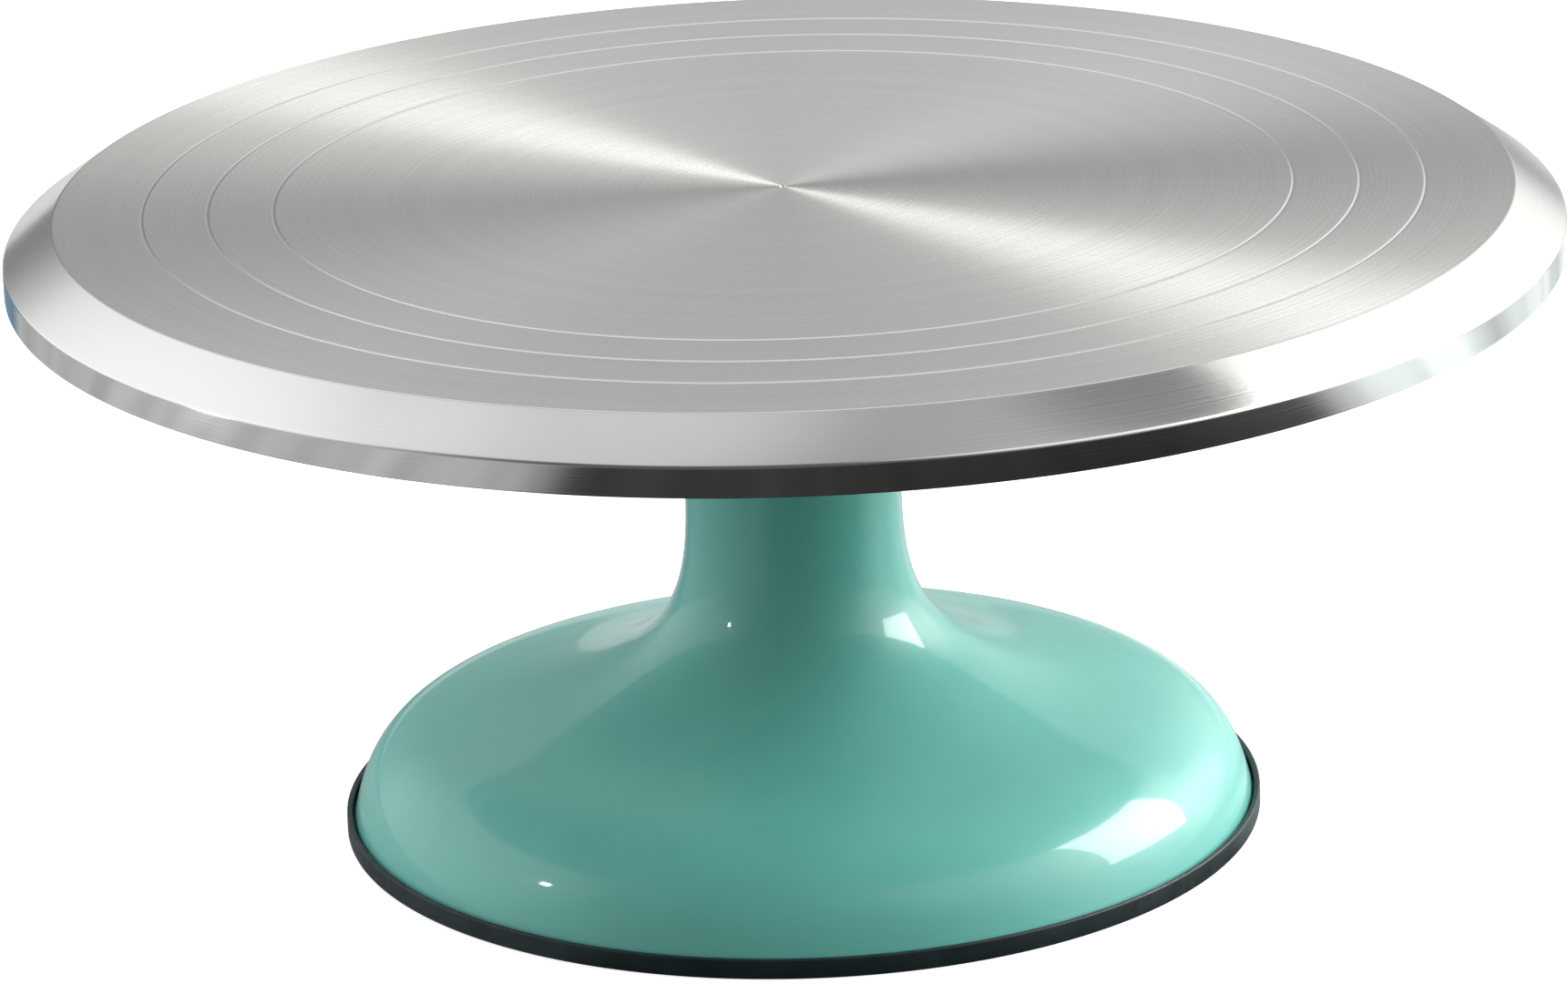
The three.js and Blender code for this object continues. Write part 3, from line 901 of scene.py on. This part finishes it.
def shield_outline(side):
    """A pressed shield with a rolled edge and a step. Side is 1 for the top and -1 for the bottom."""
    outer_face = BEARING_WIDTH / 2 - SHIELD_INSET
    inner_face = outer_face - SHIELD_THICKNESS
    sunk_face = outer_face - 0.25 * MM
    sheet = 0.4 * MM
    step = SHIELD_OUTER - 1.1 * MM
    outline = rounded([
        (SHIELD_INNER, sunk_face - sheet, 0.1 * MM),
        (step - 0.2 * MM, sunk_face - sheet, 0.1 * MM),
        (step + 0.2 * MM, outer_face - sheet, 0.1 * MM),
        (SHIELD_OUTER - sheet, outer_face - sheet, 0.1 * MM),
        (SHIELD_OUTER - sheet, inner_face, 0.1 * MM),
        (SHIELD_OUTER, inner_face, 0.1 * MM),
        (SHIELD_OUTER, outer_face, 0.3 * MM),
        (step, outer_face, 0.2 * MM),
        (step - 0.4 * MM, sunk_face, 0.2 * MM),
        (SHIELD_INNER, sunk_face, 0.1 * MM),
    ])
    return [(radius, side * height) for radius, height in outline]


def make_cage(name, centre, body, node, material):
    """A band round the balls' pitch circle, with a round pocket for each ball."""
    edge = 0.25 * MM
    outline = rounded([
        (CAGE_INNER, -CAGE_HALF_HEIGHT, edge),
        (CAGE_OUTER, -CAGE_HALF_HEIGHT, edge),
        (CAGE_OUTER, CAGE_HALF_HEIGHT, edge),
        (CAGE_INNER, CAGE_HALF_HEIGHT, edge),
    ])
    cage = lathe(name, outline, CAGE_SIDES)
    pockets = []
    reach = 3 * MM
    for i in range(BALL_COUNT):
        pin = [(0, -reach), (POCKET_RADIUS, -reach), (POCKET_RADIUS, reach), (0, reach)]
        pocket = lathe("pocket", pin, SMALL)
        turn = Matrix.Rotation(2 * pi * i / BALL_COUNT, 4, "Z")
        lie_down = Matrix.Rotation(pi / 2, 4, "Y")
        pocket.data.transform(turn @ Matrix.Translation((PITCH_RADIUS, 0, 0)) @ lie_down)
        pockets.append(pocket)
    apply_boolean(cage, pockets, "DIFFERENCE")
    cage.data.transform(Matrix.Translation((0, 0, centre)))
    add_piece(cage, material, body, node)


def make_balls(prefix, centre, body, material):
    """The bearing's balls, evenly round the pitch circle."""
    outline = arc(0, 0, BALL_RADIUS, -90, 90, BALL_ROWS)
    outline[0] = (0, -BALL_RADIUS)
    outline[-1] = (0, BALL_RADIUS)
    for i in range(BALL_COUNT):
        angle = 2 * pi * i / BALL_COUNT
        place = (PITCH_RADIUS * cos(angle), PITCH_RADIUS * sin(angle), centre)
        ball = lathe(f"{prefix}_steel_ball_{i + 1}", outline, BALL_SIDES, place)
        add_piece(ball, material, body, f"{prefix}_ball_{i + 1}")


def make_bearing(prefix, polished, pressed):
    """One whole ball bearing, at the height of its outer ring in the frame."""
    low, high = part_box(f"{prefix}_outer_ring")
    centre = (low.z + high.z) / 2
    place = (0, 0, centre)
    ring = lathe(f"{prefix}_inner_race", inner_ring_outline(), MEDIUM, place)
    add_piece(ring, polished, "turntable", f"{prefix}_inner_ring")
    ring = lathe(f"{prefix}_outer_race", outer_ring_outline(), MEDIUM, place)
    add_piece(ring, polished, "base", f"{prefix}_outer_ring")
    for side, where in ((1, "top"), (-1, "bottom")):
        shield = lathe(f"{prefix}_{where}_cover", shield_outline(side), MEDIUM, place)
        add_piece(shield, pressed, "base", f"{prefix}_{where}_shield")
    rolling = f"{prefix}_cage_and_balls"
    make_cage(f"{prefix}_ball_cage", centre, rolling, f"{prefix}_cage", pressed)
    make_balls(prefix, centre, rolling, polished)


# ---------------------------------------------------------------- studio

NEUTRAL = (1.0, 1.0, 1.0)
WARM = (1.0, 0.985, 0.96)
COOL = (0.93, 1.0, 1.0)
BLUE = (0.4, 0.72, 1.0)
PANEL_DISTANCE = 2.4


def towards(azimuth, elevation):
    """A unit vector, from degrees anticlockwise from +X and degrees above the floor."""
    a, e = radians(azimuth), radians(elevation)
    return Vector((cos(e) * cos(a), cos(e) * sin(a), sin(e)))


def add_panel(name, azimuth, elevation, width, height, brightness, roll=0.0, distance=PANEL_DISTANCE):
    """A soft light seen from the stand at an angle, with its width and height also in degrees."""
    light = bpy.data.lights.new(name, "AREA")
    light.shape = "RECTANGLE"
    light.size = 2 * distance * tan(radians(width / 2))
    light.size_y = 2 * distance * tan(radians(height / 2))
    light.energy = brightness * pi * light.size * light.size_y
    light.color = WARM
    panel = bpy.data.objects.new(name, light)
    away = towards(azimuth, elevation)
    facing = away.to_track_quat("Z", "Y")
    tilt = Matrix.Rotation(radians(roll), 4, "Z").to_quaternion()
    panel.location = away * distance + Vector((0, 0, PLATE_TOP / 2))
    panel.rotation_mode = "QUATERNION"
    panel.rotation_quaternion = facing @ tilt
    panel.visible_camera = False
    bpy.context.scene.collection.objects.link(panel)
    return panel


def add_lights():
    """A window for the reflections, a soft light for the surfaces, a pale wall and a small lamp."""
    window = add_panel(
        "right_window", azimuth=15, elevation=31, width=31.2, height=38.4, brightness=11.5, roll=-17.4
    )
    window.visible_diffuse = False
    fill = add_panel("right_fill", azimuth=16, elevation=28, width=60, height=40, brightness=1.6)
    fill.visible_glossy = False
    add_panel("right_wall", azimuth=39.5, elevation=43.5, width=11, height=32, brightness=0.85, roll=29)
    lamp = add_panel(
        "left_lamp", azimuth=-154.1, elevation=13, width=2.4, height=2.4, brightness=60, distance=0.259
    )
    lamp.visible_diffuse = False


# Soft areas of the room that are brighter than the rest, or darker where the brightness is below 0:
# azimuth, elevation, inner and outer radius in degrees, brightness, colour.
ROOM_GLOWS = [
    (158, 24, 14, 50, 0.68, NEUTRAL),
    (155, 76, 3, 20, 0.27, NEUTRAL),
    (110, 7, 5, 20, -0.18, NEUTRAL),
    (90, 42, 8, 24, 0.42, NEUTRAL),
    (27, 61, 4, 14, -0.2, NEUTRAL),
    (56, 18, 8, 26, 0.75, (1.0, 1.0, 0.98)),
    (40, 12, 5, 20, 1.5, (1.0, 0.99, 0.90)),
    (5, 16, 10, 42, 1.25, (1.0, 1.0, 0.97)),
    (-35, 46, 8, 33, 0.75, NEUTRAL),
    (-90, 30, 25, 62, -0.32, NEUTRAL),
]
ROOM_COLOR = (0.42, 0.425, 0.42)
ROOM_FILL = 1.5  # how much brighter the room is as a light than as a reflection


def add_world():
    """A dim room with soft bright areas for the reflections, and a plain pale background."""
    world = bpy.data.worlds.new("room")
    bpy.context.scene.world = world
    world.use_nodes = True
    nodes, links = world.node_tree.nodes, world.node_tree.links
    nodes.clear()
    direction = nodes.new("ShaderNodeTexCoord").outputs["Generated"]

    def vector_math(operation, first, second):
        made = nodes.new("ShaderNodeVectorMath")
        made.operation = operation
        for socket, value in zip(made.inputs, (first, second)):
            if isinstance(value, bpy.types.NodeSocket):
                links.new(value, socket)
            else:
                socket.default_value = value
        return made

    def fade(value, start, end, low, high):
        made = nodes.new("ShaderNodeMapRange")
        made.interpolation_type = "SMOOTHSTEP"
        ends = {"From Min": start, "From Max": end, "To Min": low, "To Max": high}
        for socket, number in ends.items():
            made.inputs[socket].default_value = number
        links.new(value, made.inputs["Value"])
        return made.outputs["Result"]

    def scaled(color, share):
        made = vector_math("SCALE", color, (0, 0, 0))
        links.new(share, made.inputs["Scale"])
        return made.outputs["Vector"]

    total = ROOM_COLOR
    for azimuth, elevation, inner, outer, brightness, color in ROOM_GLOWS:
        nearness = vector_math("DOT_PRODUCT", direction, towards(azimuth, elevation)).outputs["Value"]
        share = fade(nearness, cos(radians(outer)), cos(radians(inner)), 0.0, brightness)
        total = vector_math("ADD", total, scaled(color, share)).outputs["Vector"]
    path = nodes.new("ShaderNodeLightPath")
    room = nodes.new("ShaderNodeBackground")
    links.new(total, room.inputs["Color"])
    strength = fade(path.outputs["Is Diffuse Ray"], 0.0, 1.0, 1.0, ROOM_FILL)
    links.new(strength, room.inputs["Strength"])
    pale = nodes.new("ShaderNodeBackground")
    pale.inputs["Color"].default_value = (*NEUTRAL, 1)
    mix = nodes.new("ShaderNodeMixShader")
    output = nodes.new("ShaderNodeOutputWorld")
    links.new(path.outputs["Is Camera Ray"], mix.inputs["Fac"])
    links.new(room.outputs[0], mix.inputs[1])
    links.new(pale.outputs[0], mix.inputs[2])
    links.new(mix.outputs[0], output.inputs[0])


FLOOR_REACH = 6  # half the side of the floor that the camera sees
TABLE_REACH = 20
TABLE_HEIGHT = -0.5 * MM


def flat_sheet(name, reach, height, material):
    """A flat square of the stage, which reaches that far from the stand's axis."""
    made = bmesh.new()
    bmesh.ops.create_grid(made, x_segments=1, y_segments=1, size=reach)
    bmesh.ops.translate(made, verts=made.verts, vec=(0, 0, height))
    sheet = new_object(name, made)
    sheet.data.materials.append(material)
    return sheet


def add_floor():
    """The pale floor that the camera sees. It can be seen through from below."""
    finish = Finish("pale_floor", (0.95, 0.95, 0.945), 0.6)
    finish.set("Emission Color", (1, 1, 1, 1))
    finish.set("Emission Strength", 0.7)
    geometry = finish.node("ShaderNodeNewGeometry")
    clear = finish.node("ShaderNodeBsdfTransparent")
    mix = finish.node("ShaderNodeMixShader")
    finish.links.new(geometry.outputs["Backfacing"], mix.inputs["Fac"])
    finish.links.new(finish.shader.outputs[0], mix.inputs[1])
    finish.links.new(clear.outputs[0], mix.inputs[2])
    finish.links.new(mix.outputs[0], finish.nodes["Material Output"].inputs[0])
    floor = flat_sheet("floor", FLOOR_REACH, 0, finish.material)
    floor.visible_diffuse = False
    floor.visible_glossy = False
    floor.visible_transmission = False
    floor.visible_shadow = False


# Painted brightness of the table towards each azimuth. The stand reflects it and it also glows as light
# from below, dark in front as painted shade: degrees, shade, colour.
TABLE_SHADES = [
    (-180, 0.34, NEUTRAL),
    (-152, 0.30, NEUTRAL),
    (-128, 0.30, NEUTRAL),
    (-121, 0.20, NEUTRAL),
    (-117, 0.03, NEUTRAL),
    (-45, 0.012, NEUTRAL),
    (-22, 0.03, NEUTRAL),
    (-16, 0.30, NEUTRAL),
    (-11, 0.56, COOL),
    (8, 0.68, COOL),
    (18, 0.34, COOL),
    (28, 0.60, COOL),
    (38, 0.55, COOL),
    (46, 0.38, COOL),
    (53, 0.65, NEUTRAL),
    (62, 0.55, NEUTRAL),
    (74, 0.30, NEUTRAL),
    (84, 0.45, NEUTRAL),
    (112, 0.45, NEUTRAL),
    (121, 0.20, NEUTRAL),
    (125, 0.22, BLUE),
    (132, 0.22, BLUE),
    (137, 0.26, NEUTRAL),
    (180, 0.34, NEUTRAL),
]


def add_table():
    """The table top that the stand reflects and the camera doesn't see, with faint streaks. It glows
    with its painted shades, so it paints the reflections below the horizon and lights the stand from
    below.
    """
    streak = 5  # the streaks' spacing in degrees
    finish = Finish("table_top", NEUTRAL, 0.8)
    finish.set("Specular IOR Level", 0)
    split = finish.nodes.new("ShaderNodeSeparateXYZ")
    finish.links.new(finish.place(), split.inputs[0])
    angle = finish.math("ARCTAN2", split.outputs[1], split.outputs[0])
    azimuths = finish.math("MULTIPLY", angle, degrees(1))
    ramp = finish.nodes.new("ShaderNodeValToRGB")
    elements = ramp.color_ramp.elements
    while len(elements) < len(TABLE_SHADES):
        elements.new(0.5)
    for element, (azimuth, shade, color) in zip(elements, TABLE_SHADES):
        element.position = (azimuth + 180) / 360
        element.color = (*(shade * part for part in color), 1)
    finish.links.new(finish.spread(azimuths, 0, 1, -180, 180), ramp.inputs[0])
    streaked = finish.nodes.new("ShaderNodeVectorMath")
    streaked.operation = "SCALE"
    finish.links.new(ramp.outputs[0], streaked.inputs[0])
    streaks = finish.spread(finish.line_noise(azimuths, streak), 0.8, 1.2)
    finish.links.new(streaks, streaked.inputs["Scale"])
    finish.links.new(streaked.outputs[0], finish.shader.inputs["Base Color"])
    finish.links.new(streaked.outputs[0], finish.shader.inputs["Emission Color"])
    # The table's glow: its painted shades act as light from below as well as reflection.
    finish.set("Emission Strength", 0.5)
    table = flat_sheet("table", TABLE_REACH, TABLE_HEIGHT, finish.material)
    table.visible_camera = False


CAMERA_PLACE = (-0.0018, -1.4005, 0.5378)
LOOKS_DOWN = 18.6247  # degrees
LEANS = -1.9577  # degrees


def add_camera():
    """A long lens in front of the stand and a little above it, held slightly out of level."""
    camera = bpy.data.objects.new("camera", bpy.data.cameras.new("camera"))
    camera.data.sensor_width = 36
    camera.data.lens = 173.65
    pitch = Matrix.Rotation(radians(90 - LOOKS_DOWN), 4, "X")
    roll = Matrix.Rotation(radians(LEANS), 4, "Z")
    camera.matrix_world = Matrix.Translation(CAMERA_PLACE) @ pitch @ roll
    bpy.context.scene.collection.objects.link(camera)
    bpy.context.scene.camera = camera
    bpy.context.scene.view_settings.view_transform = "Standard"


add_camera()
add_world()
add_lights()
add_floor()
add_table()

make_plate()
make_base()
make_ring()
make_spindle()
zinc = zinc_steel()
make_screws(zinc)
make_spacer(zinc)
make_washer(zinc)
make_nut(zinc)
make_insert()
polished_steel = bearing_steel()
thin_steel = pressed_steel()
make_bearing("upper_bearing", polished_steel, thin_steel)
make_bearing("lower_bearing", polished_steel, thin_steel)
